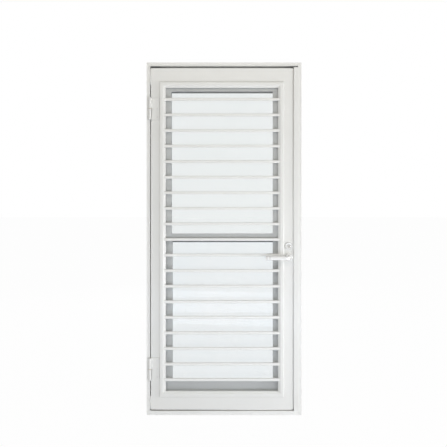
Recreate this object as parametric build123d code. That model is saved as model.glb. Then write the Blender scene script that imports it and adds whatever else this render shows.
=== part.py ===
from build123d import *
import os

# Aluminium ventilation door: an outer frame, a hinged leaf with horizontal bars over an
# insect screen, and two glazed sashes in vertical tracks behind the screen.
# Millimetres. +X right, +Y into the building, +Z up. The origin is the middle of the
# underside of the sill, halfway through the depth of the frame.

# Outer frame
frame_width = 900.0
frame_height = 2050.0
frame_depth = 90.0
frame_wall = 1.6
hinge_jamb_face = 19.0
lock_jamb_face = 20.0
head_face = 20.0
sill_face = 24.0
band_width = 14.5           # outermost strip of every face, set back from the rest
band_setback = 2.0
strike_rail_width = 24.0    # rail between the lock jamb and the leaf
strike_rail_head_gap = 7.0  # open slot between the top of the rail and the head
stop_overlap = 4.0          # how far the stop reaches behind the edge of the leaf
stop_gap = 8.0              # from the back of the leaf to the stop
anchor_hole_radius = 4.0
anchor_spacing = 560.0
anchor_count = 4
seal_width = 4.0
seal_clearance = 5.0        # from the seal to the back of the leaf
strip_joint = 0.5           # gap where two strips of seal or clip meet

# Leaf
leaf_setback = 4.0          # from the front of the frame to the front of the leaf
leaf_thickness = 51.0
leaf_wall = 1.6
hinge_gap = 5.5
lock_gap = 6.0
head_gap = 12.5
sill_gap = 8.5
stile_width = 51.5
top_rail_height = 80.5
bottom_rail_height = 72.0
lip_thickness = 4.0         # front lip round the edge of the leaf
edge_relief = 3.0           # how far the edge stands back behind the lip

# Inner frame: the bead round the opening and the tracks behind it
bead_width = 34.0
bead_proud = 10.0           # in front of the leaf
bead_depth = 16.0
bead_chamfer = 4.5
bead_slope_width = 14.0
bead_slope_depth = 8.0
inner_wall = 1.4
track_depth = 11.0          # how far the sashes run behind the edge of the opening
track_fin = 2.0
track_fin_reach = 8.0
rear_flange = 2.4

# Bars
bar_count = 19
bar_height = 16.0
bar_depth = 12.0
bar_pitch = 90.5
bar_corner = 4.5
bar_wall = 1.3
bar_setback = 2.0           # from the front of the bead to the front of a bar
bar_socket = 12.0           # length of bar inside the bead

# Insect screen
screen_thickness = 0.8
clip_thickness = 2.2
clip_width = 9.0

# Sashes
sash_thickness = 14.0
sash_play = 2.5             # front and back, in the track
sash_overlap = 9.0          # how far a sash reaches behind the edge of the opening
sash_stile = 39.5
sash_head_rail = 27.0
meeting_rail = 36.0
sash_foot_rail = 63.0
sash_wall = 1.4
glass_thickness = 5.0
glass_groove = 9.0
glass_edge_gap = 1.0
meeting_drop = 4.0          # foot of the upper sash below the middle of the opening
meeting_rise = 24.0         # head of the lower sash above it
lift_lip_thickness = 3.0
lift_lip_reach = 9.0
lift_lip_height = 44.0      # above the foot of the lower sash
sash_latch_length = 46.0
sash_latch_height = 13.0
sash_latch_depth = 6.0
sash_latch_inset = 10.0

# Hinges
hinge_length = 128.0
hinge_end_distance = 237.0  # from the end of the leaf to the middle of a hinge
knuckle_radius = 7.0
axis_from_leaf = 3.0        # sideways from the edge of the leaf to the hinge axis
knuckle_face_gap = 1.0
pin_radius = 4.0
pin_clearance = 0.05
washer_thickness = 3.0
washer_play = 0.2
wing_width = 44.0
wing_thickness = 4.0
wing_knuckle_gap = 2.0
frame_plate_thickness = 3.0
frame_plate_inset = 1.0     # from the edge of the frame
bridge_overlap = 3.0        # how far a knuckle's bridge runs onto its plate

# Lock set
lever_height = 918.0
cylinder_rise = 64.0
backset = 23.0
rose_radius = 22.5
rose_thickness = 8.0
rose_taper = 1.8            # how much less the radius is at the front of a rose
neck_radius = 8.0
running_clearance = 0.05
grip_distance = 53.0        # from the face of the leaf to the middle of the grip
grip_length = 134.0         # from the tip to the axis of the lever
grip_height = 22.0
grip_depth = 12.0
grip_corner = 5.0
grip_ring_width = 1.6
grip_ring_depth = 0.7
grip_ring_places = (7.2, 24.2)
elbow_radius = 13.0         # middle of the bend from the neck to the grip
neck_flare = 12.0           # length over which the round neck takes the grip's section
spindle_side = 8.0
spindle_hole_radius = 12.0
inner_plate_width = 26.0
inner_plate_height = 166.0
inner_plate_thickness = 3.0
cylinder_radius = 10.0
cylinder_proud = 1.5
keyway_width = 2.4
keyway_height = 9.0
keyway_depth = 12.0
thumbturn_width = 8.0
thumbturn_height = 28.0
thumbturn_reach = 18.0
faceplate_height = 190.0
faceplate_width = 22.0
faceplate_thickness = 1.5
latch_bolt_height = 24.0
dead_bolt_height = 34.0
bolt_thickness = 12.0
bolt_length = 8.0
strike_thickness = 1.2
strike_margin = 2.0
strike_height = 170.0
strike_width = 24.0

# Places worked out from the sizes
y_front = -frame_depth / 2
y_back = frame_depth / 2
frame_left = -frame_width / 2
frame_right = frame_width / 2
lock_jamb_side = frame_right - lock_jamb_face
strike_side = lock_jamb_side - strike_rail_width
leaf_left = frame_left + hinge_jamb_face + hinge_gap
leaf_right = strike_side - lock_gap
leaf_bottom = sill_face + sill_gap
leaf_top = frame_height - head_face - head_gap
leaf_front = y_front + leaf_setback
leaf_back = leaf_front + leaf_thickness
stop_front = leaf_back + stop_gap

inner_left = leaf_left + stile_width
inner_right = leaf_right - stile_width
inner_bottom = leaf_bottom + bottom_rail_height
inner_top = leaf_top - top_rail_height
opening_left = inner_left + bead_width
opening_right = inner_right - bead_width
opening_bottom = inner_bottom + bead_width
opening_top = inner_top - bead_width
opening_middle = (opening_bottom + opening_top) / 2

bead_front = leaf_front - bead_proud
bead_back = bead_front + bead_depth
track_wall = bead_width - track_depth
screen_back = bead_back + screen_thickness
clip_back = screen_back + clip_thickness
upper_sash_front = clip_back + sash_play
upper_sash_back = upper_sash_front + sash_thickness
fin_front = upper_sash_back + sash_play
fin_back = fin_front + track_fin
lower_sash_front = fin_back + sash_play
lower_sash_back = lower_sash_front + sash_thickness

hinge_x = leaf_left - axis_from_leaf
hinge_y = y_front - knuckle_face_gap - knuckle_radius
hinge_middles = {
    "top": leaf_top - hinge_end_distance,
    "bottom": leaf_bottom + hinge_end_distance,
}

lock_x = leaf_right - backset
edge_x = leaf_right - edge_relief
lock_y = leaf_front + leaf_thickness / 2
cylinder_height = lever_height + cylinder_rise
lock_middle = (lever_height + cylinder_height) / 2


def block(x0, x1, y0, y1, z0, z1):
    """A box between two corners."""
    return Pos((x0 + x1) / 2, (y0 + y1) / 2, (z0 + z1) / 2) * Box(x1 - x0, y1 - y0, z1 - z0)


def rod(radius, x, z, y0, y1):
    """A round rod along Y."""
    return Pos(x, (y0 + y1) / 2, z) * Rot(90, 0, 0) * Cylinder(radius, abs(y1 - y0))


def post(radius, x, y, z0, z1):
    """A round post along Z."""
    return Pos(x, y, (z0 + z1) / 2) * Cylinder(radius, z1 - z0)


def section(outline, wall=None):
    """A closed outline as a face, hollowed to an even wall where one is given."""
    face = make_face(Polyline(*outline, close=True))
    if wall is None:
        return face
    return face - offset(face, amount=-wall, kind=Kind.INTERSECTION)


def eight_sided(width, height, radius):
    """A rectangle whose cut corners touch arcs of the given radius."""
    rectangle = Rectangle(width, height)
    return chamfer(rectangle.vertices(), radius * (2 - 2 ** 0.5))


def upright(face, z0, z1):
    """A section drawn in (x, y), carried up from z0 to z1."""
    return extrude(Pos(0, 0, z0) * face, amount=z1 - z0, dir=(0, 0, 1))


def level(face, x0, x1):
    """A section drawn in (y, z), carried across from x0 to x1."""
    across = Plane(origin=(x0, 0, 0), x_dir=(0, 1, 0), z_dir=(1, 0, 0))
    return extrude(across * face, amount=x1 - x0, dir=(1, 0, 0))


def through(face, y0, y1):
    """A face drawn in (x, z), carried back from y0 to y1."""
    facing = Plane(origin=(0, y0, 0), x_dir=(1, 0, 0), z_dir=(0, -1, 0))
    return extrude(facing * face, amount=y1 - y0, dir=(0, 1, 0))


def placed(profile, side, edge):
    """Profile points (distance in from the edge, depth) turned to one side of a rectangle."""
    if side == "left":
        return [(edge + u, y) for u, y in profile]
    if side == "right":
        return [(edge - u, y) for u, y in profile]
    if side == "bottom":
        return [(y, edge + u) for u, y in profile]
    return [(y, edge - u) for u, y in profile]


def strips(left, right, bottom, top, width, y0, y1):
    """Four flat strips round a rectangle, with a small gap where they meet."""
    low = bottom + width + strip_joint
    high = top - width - strip_joint
    return Compound(children=[
        block(left, right, y0, y1, bottom, bottom + width),
        block(left, right, y0, y1, top - width, top),
        block(left, left + width, y0, y1, low, high),
        block(right - width, right, y0, y1, low, high),
    ])


def mitre(side, left, right, bottom, top, width):
    """The part of a rectangular ring that belongs to one mitred side."""
    corners = {
        "left": [(left, bottom), (left + width, bottom + width),
                 (left + width, top - width), (left, top)],
        "right": [(right, bottom), (right, top),
                  (right - width, top - width), (right - width, bottom + width)],
        "bottom": [(left, bottom), (right, bottom),
                   (right - width, bottom + width), (left + width, bottom + width)],
        "top": [(left, top), (left + width, top - width),
                (right - width, top - width), (right, top)],
    }[side]
    return through(section(corners), y_front - frame_depth, y_back + frame_depth)


def frame_face(face_width):
    """The front of a frame member: a set-back band and a raised face."""
    return [
        (0, y_front + band_setback),
        (band_width, y_front + band_setback),
        (band_width + band_setback, y_front),
        (face_width, y_front),
    ]


def stop_steps(face_width, gap):
    """The side of a frame member towards the leaf, with the stop behind the leaf's edge."""
    stop_edge = face_width + gap + edge_relief + stop_overlap
    return [
        (face_width, stop_front),
        (stop_edge, stop_front),
        (stop_edge, y_back),
        (0, y_back),
    ]


def rail_profile():
    """The strike rail: a flat face level with the jamb's, and the stop on the lock side."""
    return [(0, y_front), (strike_rail_width, y_front)] + stop_steps(strike_rail_width, lock_gap)


def leaf_profile(width):
    """A stile or rail of the leaf: a box with a lip at the front of its outer edge."""
    return [
        (0, leaf_front),
        (width, leaf_front),
        (width, leaf_back),
        (edge_relief, leaf_back),
        (edge_relief, leaf_front + lip_thickness),
        (0, leaf_front + lip_thickness),
    ]


def inner_profile():
    """The inner frame: bead in front, a seat for the screen, then two sash tracks."""
    fin_end = track_wall + track_fin_reach
    flange_front = leaf_back - rear_flange
    return [
        (0, leaf_back),
        (0, bead_front + bead_chamfer),
        (bead_chamfer, bead_front),
        (bead_width - bead_slope_width, bead_front),
        (bead_width, bead_front + bead_slope_depth),
        (bead_width, bead_back),
        (track_wall, bead_back),
        (track_wall, fin_front),
        (fin_end, fin_front),
        (fin_end, fin_back),
        (track_wall, fin_back),
        (track_wall, flange_front),
        (bead_width, flange_front),
        (bead_width, leaf_back),
    ]


def sash_profile(width, front):
    """A stile or rail of a sash, with the groove for the glass in its inner edge."""
    middle = front + sash_thickness / 2
    near = middle - glass_thickness / 2
    far = middle + glass_thickness / 2
    floor = width - glass_groove
    return [
        (0, front),
        (width, front),
        (width, near),
        (floor, near),
        (floor, far),
        (width, far),
        (width, front + sash_thickness),
        (0, front + sash_thickness),
    ]


def make_jamb(side, edge, face_width, outline):
    """A full-height jamb: its raised face stops short of both ends, and anchors pass through."""
    solid = upright(section(outline), 0, frame_height)
    jamb = upright(section(outline, frame_wall), 0, frame_height)
    raised = (edge + band_width, edge + face_width)
    if side == "right":
        raised = (edge - face_width, edge - band_width)
    back = y_front + band_setback + frame_wall
    for end, turn in ((0, 1), (frame_height, -1)):
        step = sorted((end, end + turn * band_width))
        jamb -= block(*raised, y_front, back, *step)
        jamb += block(*raised, y_front + band_setback, back, *step)
        shoulder = sorted((end + turn * band_width, end + turn * (band_width + frame_wall)))
        jamb += block(*raised, y_front, back, *shoulder) & solid
    for n in range(anchor_count):
        z = frame_height / 2 + (n - (anchor_count - 1) / 2) * anchor_spacing
        jamb -= Pos(edge, 0, z) * Rot(0, 90, 0) * Cylinder(anchor_hole_radius, 3 * face_width)
    return jamb, solid


def make_frame():
    """The outer frame: full-height jambs, head and sill between them, and the strike rail."""
    hinge_outline = frame_face(hinge_jamb_face) + stop_steps(hinge_jamb_face, hinge_gap)
    lock_outline = frame_face(lock_jamb_face) + [(lock_jamb_face, y_back), (0, y_back)]
    hinge_jamb, hinge_solid = make_jamb("left", frame_left, hinge_jamb_face,
                                        placed(hinge_outline, "left", frame_left))
    lock_jamb, lock_solid = make_jamb("right", frame_right, lock_jamb_face,
                                      placed(lock_outline, "right", frame_right))
    made = {"hinge_jamb": hinge_jamb, "lock_jamb": lock_jamb}
    rail = section(placed(rail_profile(), "right", lock_jamb_side), frame_wall)
    rail = upright(rail, sill_face, frame_height - head_face - strike_rail_head_gap)
    ends = (
        ("frame_head", "top", frame_height, head_face, head_gap),
        ("frame_sill", "bottom", 0, sill_face, sill_gap),
    )
    for name, side, edge, face_width, gap in ends:
        outline = placed(frame_face(face_width) + stop_steps(face_width, gap), side, edge)
        ends_at = (frame_left + hinge_jamb_face, lock_jamb_side)
        made[name] = level(section(outline, frame_wall), *ends_at) - hinge_solid - lock_solid
        rail -= level(section(outline), *ends_at)
    made["strike_rail"] = rail
    return made


def make_seal():
    """The four strips of seal on the face of the stop."""
    left = leaf_left + edge_relief
    right = leaf_right - edge_relief
    bottom = leaf_bottom + edge_relief
    top = leaf_top - edge_relief
    return strips(left, right, bottom, top, seal_width, leaf_back + seal_clearance, stop_front)


def make_leaf():
    """Stiles at full height, with the rails between them."""
    hinge_outline = placed(leaf_profile(stile_width), "left", leaf_left)
    lock_outline = placed(leaf_profile(stile_width), "right", leaf_right)
    hinge_stile = upright(section(hinge_outline, leaf_wall), leaf_bottom, leaf_top)
    lock_stile = upright(section(lock_outline, leaf_wall), leaf_bottom, leaf_top)
    top_outline = placed(leaf_profile(top_rail_height), "top", leaf_top)
    bottom_outline = placed(leaf_profile(bottom_rail_height), "bottom", leaf_bottom)
    top_rail = level(section(top_outline, leaf_wall), inner_left, inner_right)
    bottom_rail = level(section(bottom_outline, leaf_wall), inner_left, inner_right)
    lock_stile -= rod(spindle_hole_radius, lock_x, lever_height, leaf_front, leaf_back)
    lock_stile -= rod(cylinder_radius, lock_x, cylinder_height, leaf_front, leaf_back)
    lock_stile -= block(edge_x - leaf_wall, edge_x,
                        lock_y - faceplate_width / 2, lock_y + faceplate_width / 2,
                        lock_middle - faceplate_height / 2, lock_middle + faceplate_height / 2)
    return {
        "hinge_stile": hinge_stile,
        "lock_stile": lock_stile,
        "top_rail": top_rail,
        "bottom_rail": bottom_rail,
    }


def make_bars():
    """The bars as hollow lengths, and the plain outline that their sockets take."""
    y = bead_front + bar_setback + bar_depth / 2
    left = opening_left - bar_socket
    right = opening_right + bar_socket
    outer = eight_sided(bar_depth, bar_height, bar_corner)
    bore = eight_sided(bar_depth - 2 * bar_wall, bar_height - 2 * bar_wall, bar_corner - bar_wall)
    tube = level(Pos(y, 0) * (outer - bore), left, right)
    blank = level(Pos(y, 0) * outer, left, right)
    heights = [opening_middle + (n - (bar_count - 1) / 2) * bar_pitch for n in range(bar_count)]
    bars = Compound(children=[Pos(0, 0, z) * tube for z in heights])
    blanks = [Pos(0, 0, z) * blank for z in heights]
    return bars, blanks


def make_inner_frame(blanks):
    """Four mitred lengths of the bead and track extrusion, with sockets for the bars."""
    made = {}
    sides = (
        ("left", inner_left), ("right", inner_right),
        ("bottom", inner_bottom), ("top", inner_top),
    )
    for side, edge in sides:
        face = section(placed(inner_profile(), side, edge), inner_wall)
        if side in ("left", "right"):
            length = upright(face, inner_bottom, inner_top)
        else:
            length = level(face, inner_left, inner_right)
        length &= mitre(side, inner_left, inner_right, inner_bottom, inner_top, bead_width)
        if side in ("left", "right"):
            length -= blanks
        made[f"inner_frame_{side}"] = length
    return made


def make_screen():
    """The insect screen behind the bead, and the clip that holds it against the bead."""
    left = inner_left + track_wall
    right = inner_right - track_wall
    bottom = inner_bottom + track_wall
    top = inner_top - track_wall
    return {
        "insect_screen": block(left, right, bead_back, screen_back, bottom, top),
        "screen_clip": strips(left, right, bottom, top, clip_width, screen_back, clip_back),
    }


def make_sash(name, front, z0, z1, foot, head):
    """One glazed sash: stiles at full height, rails between them, and the pane."""
    left = opening_left - sash_overlap
    right = opening_right + sash_overlap
    stile = sash_profile(sash_stile, front)
    made = {}
    for side, edge in (("left", left), ("right", right)):
        face = section(placed(stile, side, edge), sash_wall)
        made[f"{name}_{side}"] = upright(face, z0, z1)
    for side, edge, width, label in (("bottom", z0, foot, "foot"), ("top", z1, head, "head")):
        face = section(placed(sash_profile(width, front), side, edge), sash_wall)
        made[f"{name}_{label}"] = level(face, left + sash_stile, right - sash_stile)
    middle = front + sash_thickness / 2
    reach = glass_groove - glass_edge_gap
    made[f"{name}_glass"] = block(
        left + sash_stile - reach, right - sash_stile + reach,
        middle - glass_thickness / 2, middle + glass_thickness / 2,
        z0 + foot - reach, z1 - head + reach)
    return made


def make_sashes():
    """The upper sash in the front track and the lower sash in the rear one."""
    made = make_sash("upper_sash", upper_sash_front, opening_middle - meeting_drop,
                     opening_top + sash_overlap, meeting_rail, sash_head_rail)
    foot = opening_bottom - sash_overlap
    head = opening_middle + meeting_rise
    made.update(make_sash("lower_sash", lower_sash_front, foot, head,
                          sash_foot_rail, meeting_rail))
    lip = [
        (lower_sash_back, foot + lift_lip_height),
        (lower_sash_back + lift_lip_reach, foot + lift_lip_height),
        (lower_sash_back + lift_lip_reach, foot + lift_lip_height - 2 * lift_lip_thickness),
        (lower_sash_back + lift_lip_reach - lift_lip_thickness / 2,
         foot + lift_lip_height - 2 * lift_lip_thickness),
        (lower_sash_back + lift_lip_reach - lift_lip_thickness / 2,
         foot + lift_lip_height - lift_lip_thickness),
        (lower_sash_back, foot + lift_lip_height - lift_lip_thickness),
    ]
    made["lower_sash_foot"] += level(section(lip), opening_left + sash_stile,
                                     opening_right - sash_stile)
    latches = []
    z = head - meeting_rail / 2
    for x in (opening_left + sash_latch_inset, opening_right - sash_latch_inset - sash_latch_length):
        body = block(x, x + sash_latch_length, lower_sash_back, lower_sash_back + sash_latch_depth,
                     z - sash_latch_height / 2, z + sash_latch_height / 2)
        body = chamfer(body.faces().sort_by(Axis.Y)[-1].edges(), sash_latch_depth / 3)
        grip = block(x + sash_latch_length / 2 - sash_latch_height / 3,
                     x + sash_latch_length / 2 + sash_latch_height / 3,
                     lower_sash_back + sash_latch_depth / 2,
                     lower_sash_back + 2 * sash_latch_depth,
                     z - sash_latch_height / 4, z + sash_latch_height / 4)
        latches.append(body + grip)
    made["sash_latches"] = Compound(children=latches)
    return made


def make_hinge(name, middle):
    """A lift-off hinge: the frame half carries the pin, the leaf half sits on a washer."""
    low = middle - hinge_length / 2
    high = middle + hinge_length / 2
    frame_end = middle - washer_thickness / 2
    leaf_end = middle + washer_thickness / 2 + washer_play
    band_edge = frame_left + band_width
    bridge_edge = hinge_x - knuckle_radius - wing_knuckle_gap
    band_front = y_front + band_setback

    frame_half = post(knuckle_radius, hinge_x, hinge_y, low, frame_end)
    frame_half += block(bridge_edge - bridge_overlap, hinge_x, hinge_y + knuckle_radius / 2,
                        y_front, low, frame_end)
    frame_half += block(frame_left + frame_plate_inset, band_edge,
                        band_front - frame_plate_thickness, band_front, low, high)
    frame_half += post(pin_radius, hinge_x, hinge_y, frame_end, high - knuckle_radius)

    leaf_half = post(knuckle_radius, hinge_x, hinge_y, leaf_end, high)
    wing_left = hinge_x + knuckle_radius + wing_knuckle_gap
    wing = block(wing_left, wing_left + wing_width,
                 leaf_front - wing_thickness, leaf_front, low, high)
    outer_edges = wing.faces().sort_by(Axis.Y)[0].edges()
    wing = chamfer(outer_edges, wing_thickness / 4)
    leaf_half += wing
    leaf_half += block(hinge_x, wing_left + bridge_overlap, hinge_y + knuckle_radius / 2,
                       leaf_front, leaf_end, high)
    leaf_half -= post(pin_radius + pin_clearance, hinge_x, hinge_y,
                      leaf_end, high - knuckle_radius + washer_play)

    washer = post(knuckle_radius, hinge_x, hinge_y, frame_end, frame_end + washer_thickness)
    washer -= post(pin_radius, hinge_x, hinge_y, frame_end, frame_end + washer_thickness)
    return {
        f"{name}_hinge_frame_half": frame_half,
        f"{name}_hinge_leaf_half": leaf_half,
        f"{name}_hinge_washer": washer,
    }


def make_lever(face, out):
    """A lever on one face of the leaf; out is -1 in front and +1 behind."""
    middle = face + out * grip_distance
    bend_x = lock_x - elbow_radius
    bend_y = middle - out * elbow_radius
    tip = lock_x - grip_length
    grip_face = eight_sided(grip_depth, grip_height, grip_corner)
    grip = level(Pos(middle, lever_height) * grip_face, tip, bend_x)
    for place in grip_ring_places:
        x = tip + place
        inside = offset(grip_face, amount=-grip_ring_depth, kind=Kind.INTERSECTION)
        grip -= level(Pos(middle, lever_height) * (grip_face - inside), x, x + grip_ring_width)

    bend_end = Plane(origin=(lock_x, bend_y, lever_height), x_dir=(1, 0, 0), z_dir=(0, -out, 0))
    flare_end = Plane(origin=(lock_x, bend_y - out * neck_flare, lever_height),
                      x_dir=(1, 0, 0), z_dir=(0, -out, 0))
    turned = bend_end * grip_face
    axis = Axis((bend_x, bend_y, lever_height), (0, 0, -out))
    elbow = revolve(turned, axis, revolution_arc=-90)
    flare = loft([turned, flare_end * Circle(neck_radius)])
    neck = rod(neck_radius, lock_x, lever_height, face, bend_y - out * neck_flare)
    return grip + elbow + flare + neck


def make_lock():
    """Levers on one spindle, the cylinder, the rose or plate behind each, and the edge gear."""
    made = {}
    for name, z, bore in (
        ("lever_rose", lever_height, neck_radius + running_clearance),
        ("cylinder_rose", cylinder_height, cylinder_radius),
    ):
        cone = Cone(rose_radius, rose_radius - rose_taper, rose_thickness)
        rose = Pos(lock_x, leaf_front - rose_thickness / 2, z) * Rot(90, 0, 0) * cone
        made[name] = rose - rod(bore, lock_x, z, leaf_front - rose_thickness, leaf_front)
    plate_back = leaf_back + inner_plate_thickness
    plate = block(lock_x - inner_plate_width / 2, lock_x + inner_plate_width / 2,
                  leaf_back, plate_back,
                  lock_middle - inner_plate_height / 2, lock_middle + inner_plate_height / 2)
    plate = chamfer(plate.faces().sort_by(Axis.Y)[-1].edges(), inner_plate_thickness / 3)
    plate -= rod(neck_radius + running_clearance, lock_x, lever_height, leaf_back, plate_back)
    plate -= rod(cylinder_radius, lock_x, cylinder_height, leaf_back, plate_back)
    made["inner_plate"] = plate

    front = leaf_front - rose_thickness - cylinder_proud
    back = plate_back + cylinder_proud
    cylinder = rod(cylinder_radius, lock_x, cylinder_height, front, back)
    cylinder -= block(lock_x - keyway_width / 2, lock_x + keyway_width / 2,
                      front, front + keyway_depth,
                      cylinder_height - keyway_height / 2, cylinder_height + keyway_height / 2)
    turn = block(lock_x - thumbturn_width / 2, lock_x + thumbturn_width / 2,
                 back, back + thumbturn_reach,
                 cylinder_height - thumbturn_height / 2, cylinder_height + thumbturn_height / 2)
    turn = chamfer(turn.faces().sort_by(Axis.Y)[-1].edges(), thumbturn_width / 4)
    made["lock_cylinder"] = cylinder
    made["thumbturn"] = turn

    spindle = block(lock_x - spindle_side / 2, lock_x + spindle_side / 2,
                    leaf_front - running_clearance, leaf_back + running_clearance,
                    lever_height - spindle_side / 2, lever_height + spindle_side / 2)
    made["outer_lever"] = make_lever(leaf_front - running_clearance, -1)
    made["inner_lever"] = make_lever(leaf_back + running_clearance, 1)
    made["spindle"] = spindle

    faceplate = block(edge_x - faceplate_thickness, edge_x,
                      lock_y - faceplate_width / 2, lock_y + faceplate_width / 2,
                      lock_middle - faceplate_height / 2, lock_middle + faceplate_height / 2)
    strike = block(strike_side - strike_thickness, strike_side,
                   lock_y - strike_width / 2, lock_y + strike_width / 2,
                   lock_middle - strike_height / 2, lock_middle + strike_height / 2)
    bolts = []
    pockets = []
    for height, z in ((latch_bolt_height, lever_height), (dead_bolt_height, cylinder_height)):
        bolt = block(edge_x - bolt_length, edge_x,
                     lock_y - bolt_thickness / 2, lock_y + bolt_thickness / 2,
                     z - height / 2, z + height / 2)
        faceplate -= bolt
        bolts.append(bolt)
        half_depth = bolt_thickness / 2 + strike_margin
        half_height = height / 2 + strike_margin
        pockets.append(block(strike_side - strike_thickness, strike_side + frame_wall,
                             lock_y - half_depth, lock_y + half_depth,
                             z - half_height, z + half_height))
    made["latch_faceplate"] = faceplate
    made["lock_bolts"] = Compound(children=bolts)
    made["strike_plate"] = strike - pockets
    return made, pockets


parts = make_frame()
parts["door_seal"] = make_seal()
parts.update(make_leaf())
parts["vent_bars"], bar_blanks = make_bars()
parts.update(make_inner_frame(bar_blanks))
parts.update(make_screen())
parts.update(make_sashes())
for hinge_name, hinge_middle in hinge_middles.items():
    parts.update(make_hinge(hinge_name, hinge_middle))
lock_parts, strike_pockets = make_lock()
parts.update(lock_parts)
parts["strike_rail"] -= strike_pockets

os.makedirs("parts", exist_ok=True)
for part_name, shape in parts.items():
    export_step(shape, f"parts/{part_name}.step")
    print(part_name, len(shape.solids()), round(shape.volume / 1000, 1), shape.is_valid)
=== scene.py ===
import math
import bmesh
import bpy
import numpy as np
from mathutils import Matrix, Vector


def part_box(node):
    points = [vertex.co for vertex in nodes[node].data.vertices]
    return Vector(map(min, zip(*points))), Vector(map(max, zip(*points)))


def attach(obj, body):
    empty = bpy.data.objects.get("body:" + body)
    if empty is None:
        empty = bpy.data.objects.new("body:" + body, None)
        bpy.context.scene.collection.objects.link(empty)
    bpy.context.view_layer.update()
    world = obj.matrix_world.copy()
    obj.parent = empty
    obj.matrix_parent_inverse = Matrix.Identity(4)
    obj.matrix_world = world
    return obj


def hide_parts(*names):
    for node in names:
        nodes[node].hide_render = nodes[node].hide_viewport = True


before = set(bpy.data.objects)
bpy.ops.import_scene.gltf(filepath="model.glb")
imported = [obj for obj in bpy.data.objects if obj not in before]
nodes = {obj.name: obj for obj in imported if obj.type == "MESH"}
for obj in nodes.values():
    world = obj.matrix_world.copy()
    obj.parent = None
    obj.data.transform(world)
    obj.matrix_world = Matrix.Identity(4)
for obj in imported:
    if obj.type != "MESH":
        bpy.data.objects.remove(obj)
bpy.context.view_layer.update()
print("stage: frame loaded,", len(nodes), "nodes")

mm = 0.001                    # lengths are written as 4.0 * mm


def corners(node):
    # lowest and highest corner of a CAD node as arrays
    low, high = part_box(node)
    return np.array(low, dtype=float), np.array(high, dtype=float)


def addPiece(name, points, faces, material, body, smooth=True, hides=()):
    # one finished object from arrays of points and faces, with every face turned outwards
    mesh = bpy.data.meshes.new(name)
    mesh.from_pydata(np.asarray(points, dtype=float).reshape(-1, 3).tolist(), [],
                     [list(map(int, face)) for face in faces])
    mesh.validate()
    work = bmesh.new()
    work.from_mesh(mesh)
    bmesh.ops.recalc_face_normals(work, faces=work.faces)
    work.to_mesh(mesh)
    work.free()
    mesh.polygons.foreach_set("use_smooth", np.full(len(mesh.polygons), smooth))
    mesh.materials.append(material)
    piece = bpy.data.objects.new(name, mesh)
    bpy.context.scene.collection.objects.link(piece)
    if hides:
        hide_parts(*hides)
    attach(piece, body)
    return piece


def gridFaces(rows, columns, closeRows=False):
    # quads of a rows x columns grid of points, closed round its columns and, if asked, its rows
    r = np.arange(rows if closeRows else rows - 1)
    a, b = np.meshgrid(r, np.arange(columns), indexing="ij")
    nextA, nextB = (a + 1) % rows, (b + 1) % columns
    quads = (a * columns + b, a * columns + nextB, nextA * columns + nextB, nextA * columns + b)
    return np.stack(quads, axis=-1).reshape(-1, 4)


def cappedFaces(rows, columns):
    # the quads of a tube of rows rings, with one polygon over the first ring and one over the last
    ends = [list(range(columns))[::-1], list(range((rows - 1) * columns, rows * columns))]
    return gridFaces(rows, columns).tolist() + ends


def turned(profile, steps):
    # surface of revolution about Z: every (radius, height) point is carried round a full circle
    radius, height = np.asarray(profile, dtype=float).T
    turn = np.linspace(0, 2 * math.pi, steps, endpoint=False)
    x = radius[:, None] * np.cos(turn)
    y = radius[:, None] * np.sin(turn)
    z = height[:, None] * np.ones(steps)
    return np.stack((x, y, z), axis=-1).reshape(-1, 3)


def facing(points, way):
    # turns points made along +Z so that +Z looks along way: front, back, left or right
    x, y, z = np.asarray(points, dtype=float).T
    turnedPoints = {
        "front": (x, -z, y),
        "back": (-x, z, y),
        "right": (z, x, y),
        "left": (-z, -x, y),
    }[way]
    return np.stack(turnedPoints, axis=-1)


def roundedSection(halfWide, halfHigh, corner, perCorner=8):
    # a rectangle with round corners: four quarter circles, each set in from its corner
    turn = np.linspace(0, math.pi / 2, perCorner)
    quarter = np.arange(4)[:, None] * math.pi / 2 + turn
    wayX = np.array((1, -1, -1, 1))[:, None]
    wayZ = np.array((1, 1, -1, -1))[:, None]
    x = wayX * (halfWide - corner) + corner * np.cos(quarter)
    z = wayZ * (halfHigh - corner) + corner * np.sin(quarter)
    return np.stack((x.ravel(), z.ravel()), axis=-1)


def rectangleRing(low, high, profile):
    # a profile carried round a rectangle with mitred corners: every (inward, depth) point is
    # moved in from all four sides by its first number and back by its second
    inward, depth = np.asarray(profile, dtype=float).T
    cornersX = np.array((low[0], high[0], high[0], low[0]))[:, None]
    cornersZ = np.array((low[2], low[2], high[2], high[2]))[:, None]
    x = cornersX + np.array((1, -1, -1, 1))[:, None] * inward
    z = cornersZ + np.array((1, 1, -1, -1))[:, None] * inward
    y = np.ones((4, 1)) * depth
    return np.stack((x, y, z), axis=-1).reshape(-1, 3), gridFaces(4, len(inward), closeRows=True)


def levelRun(profile, left, right):
    # a closed (depth, height) profile carried straight across from left to right
    depth, height = np.asarray(profile, dtype=float).T
    x = np.array((left, right))[:, None] * np.ones(len(depth))
    y = np.ones((2, 1)) * depth
    z = np.ones((2, 1)) * height
    return np.stack((x, y, z), axis=-1).reshape(-1, 3), cappedFaces(2, len(depth))


def repeated(points, faces, places):
    # the same small mesh at many places: one copy of its points is added to each place
    points = np.asarray(points, dtype=float)
    places = np.asarray(places, dtype=float)
    count = len(points)
    moved = (places[:, None, :] + points[None, :, :]).reshape(-1, 3)
    copies = [[corner + count * n for corner in face]
              for n in range(len(places)) for face in faces]
    return moved, copies


boxCorners = np.array([(x, y, z) for x in (-1, 1) for y in (-1, 1) for z in (-1, 1)], dtype=float)
boxSides = ((0, 1, 3, 2), (4, 6, 7, 5), (0, 4, 5, 1), (2, 3, 7, 6), (0, 2, 6, 4), (1, 5, 7, 3))

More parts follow.
